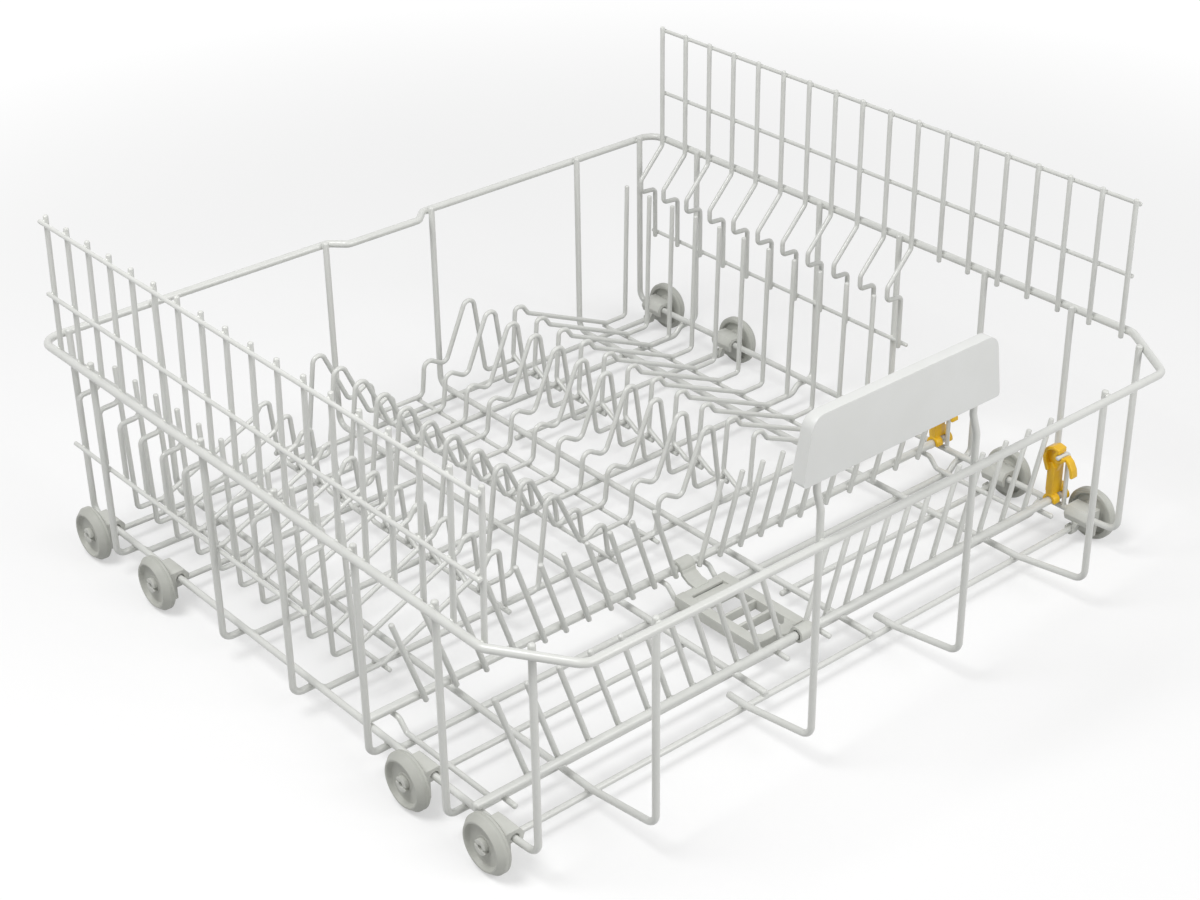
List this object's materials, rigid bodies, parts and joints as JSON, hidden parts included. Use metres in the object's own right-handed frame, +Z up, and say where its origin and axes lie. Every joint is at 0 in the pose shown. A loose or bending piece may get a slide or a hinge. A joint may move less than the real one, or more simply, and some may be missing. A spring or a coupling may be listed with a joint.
{
  "type": "dishwasher basket",
  "caption": "Lower dishwasher basket of coated wire on wheels, with plate rows, fold-down spike rows, side fences and a front handle.",
  "frame": {"origin": "middle of the footprint, on the floor the wheels stand on", "axes": "+X to the right seen from the handle, +Y from the handle to the back, +Z up"},
  "size_m": [0.505, 0.485, 0.2345],
  "materials": {
    "coated_wire": "satin grey coating",
    "wheel_plastic": "satin grey moulding",
    "bracket_plastic": "satin grey moulding",
    "handle_plastic": "pale grey moulding",
    "lever_plastic": "yellow moulding"
  },
  "bodies": {
    "basket": {"bent_bars_left": "coated_wire", "bent_bars_right": "coated_wire", "bracket_left_1": "bracket_plastic", "bracket_left_2": "bracket_plastic", "bracket_left_3": "bracket_plastic", "bracket_left_4": "bracket_plastic", "bracket_right_1": "bracket_plastic", "bracket_right_2": "bracket_plastic", "bracket_right_3": "bracket_plastic", "bracket_right_4": "bracket_plastic", "centre_bearing": "bracket_plastic", "cross_wires": "coated_wire", "end_plate_wire": "coated_wire", "fence_rails_left": "coated_wire", "fence_rails_right": "coated_wire", "front_fixed_prongs": "coated_wire", "front_fixed_rail": "coated_wire", "front_lever_hoop": "coated_wire", "handle_panel": "handle_plastic", "handle_posts": "coated_wire", "long_axle_wires": "coated_wire", "mid_floor_wires": "coated_wire", "outer_floor_wires": "coated_wire", "plate_wires": "coated_wire", "rail_supports": "coated_wire", "rear_fixed_prongs": "coated_wire", "rear_fixed_rail": "coated_wire", "rear_lever_hoop": "coated_wire", "rim_wire": "coated_wire", "side_racks_left": "coated_wire", "side_racks_right": "coated_wire", "side_rails": "coated_wire", "split_axle_wires": "coated_wire", "straight_bars_left": "coated_wire", "straight_bars_right": "coated_wire", "tie_rods": "coated_wire"},
    "rear_spikes": {"rear_folding_rail": "coated_wire", "rear_folding_prongs": "coated_wire", "rear_lever": "lever_plastic"},
    "front_spikes": {"front_folding_rail": "coated_wire", "front_folding_prongs": "coated_wire", "front_lever": "lever_plastic"},
    "wheel_left_1": {"wheel_left_1": "wheel_plastic"},
    "wheel_left_2": {"wheel_left_2": "wheel_plastic"},
    "wheel_left_3": {"wheel_left_3": "wheel_plastic"},
    "wheel_left_4": {"wheel_left_4": "wheel_plastic"},
    "wheel_right_1": {"wheel_right_1": "wheel_plastic"},
    "wheel_right_2": {"wheel_right_2": "wheel_plastic"},
    "wheel_right_3": {"wheel_right_3": "wheel_plastic"},
    "wheel_right_4": {"wheel_right_4": "wheel_plastic"}
  },
  "joints": [
    {"name": "rear_spikes_fold", "type": "hinge", "parent": "basket", "child": "rear_spikes", "pos_m": [0.12, -0.067, 0.02525], "axis": [-1, 0, 0], "range_deg": [0, 50]},
    {"name": "front_spikes_fold", "type": "hinge", "parent": "basket", "child": "front_spikes", "pos_m": [0.12, -0.1655, 0.02525], "axis": [-1, 0, 0], "range_deg": [0, 75]},
    {"name": "wheel_left_1_spin", "type": "hinge", "parent": "basket", "child": "wheel_left_1", "pos_m": [-0.2452, 0.2174, 0.0175], "axis": [1, 0, 0], "continuous": true},
    {"name": "wheel_left_2_spin", "type": "hinge", "parent": "basket", "child": "wheel_left_2", "pos_m": [-0.2452, 0.1405, 0.0175], "axis": [1, 0, 0], "continuous": true},
    {"name": "wheel_left_3_spin", "type": "hinge", "parent": "basket", "child": "wheel_left_3", "pos_m": [-0.2452, -0.117, 0.0175], "axis": [1, 0, 0], "continuous": true},
    {"name": "wheel_left_4_spin", "type": "hinge", "parent": "basket", "child": "wheel_left_4", "pos_m": [-0.2452, -0.1854, 0.0175], "axis": [1, 0, 0], "continuous": true},
    {"name": "wheel_right_1_spin", "type": "hinge", "parent": "basket", "child": "wheel_right_1", "pos_m": [0.2452, 0.2174, 0.0175], "axis": [1, 0, 0], "continuous": true},
    {"name": "wheel_right_2_spin", "type": "hinge", "parent": "basket", "child": "wheel_right_2", "pos_m": [0.2452, 0.1405, 0.0175], "axis": [1, 0, 0], "continuous": true},
    {"name": "wheel_right_3_spin", "type": "hinge", "parent": "basket", "child": "wheel_right_3", "pos_m": [0.2452, -0.117, 0.0175], "axis": [1, 0, 0], "continuous": true},
    {"name": "wheel_right_4_spin", "type": "hinge", "parent": "basket", "child": "wheel_right_4", "pos_m": [0.2452, -0.1854, 0.0175], "axis": [1, 0, 0], "continuous": true}
  ]
}
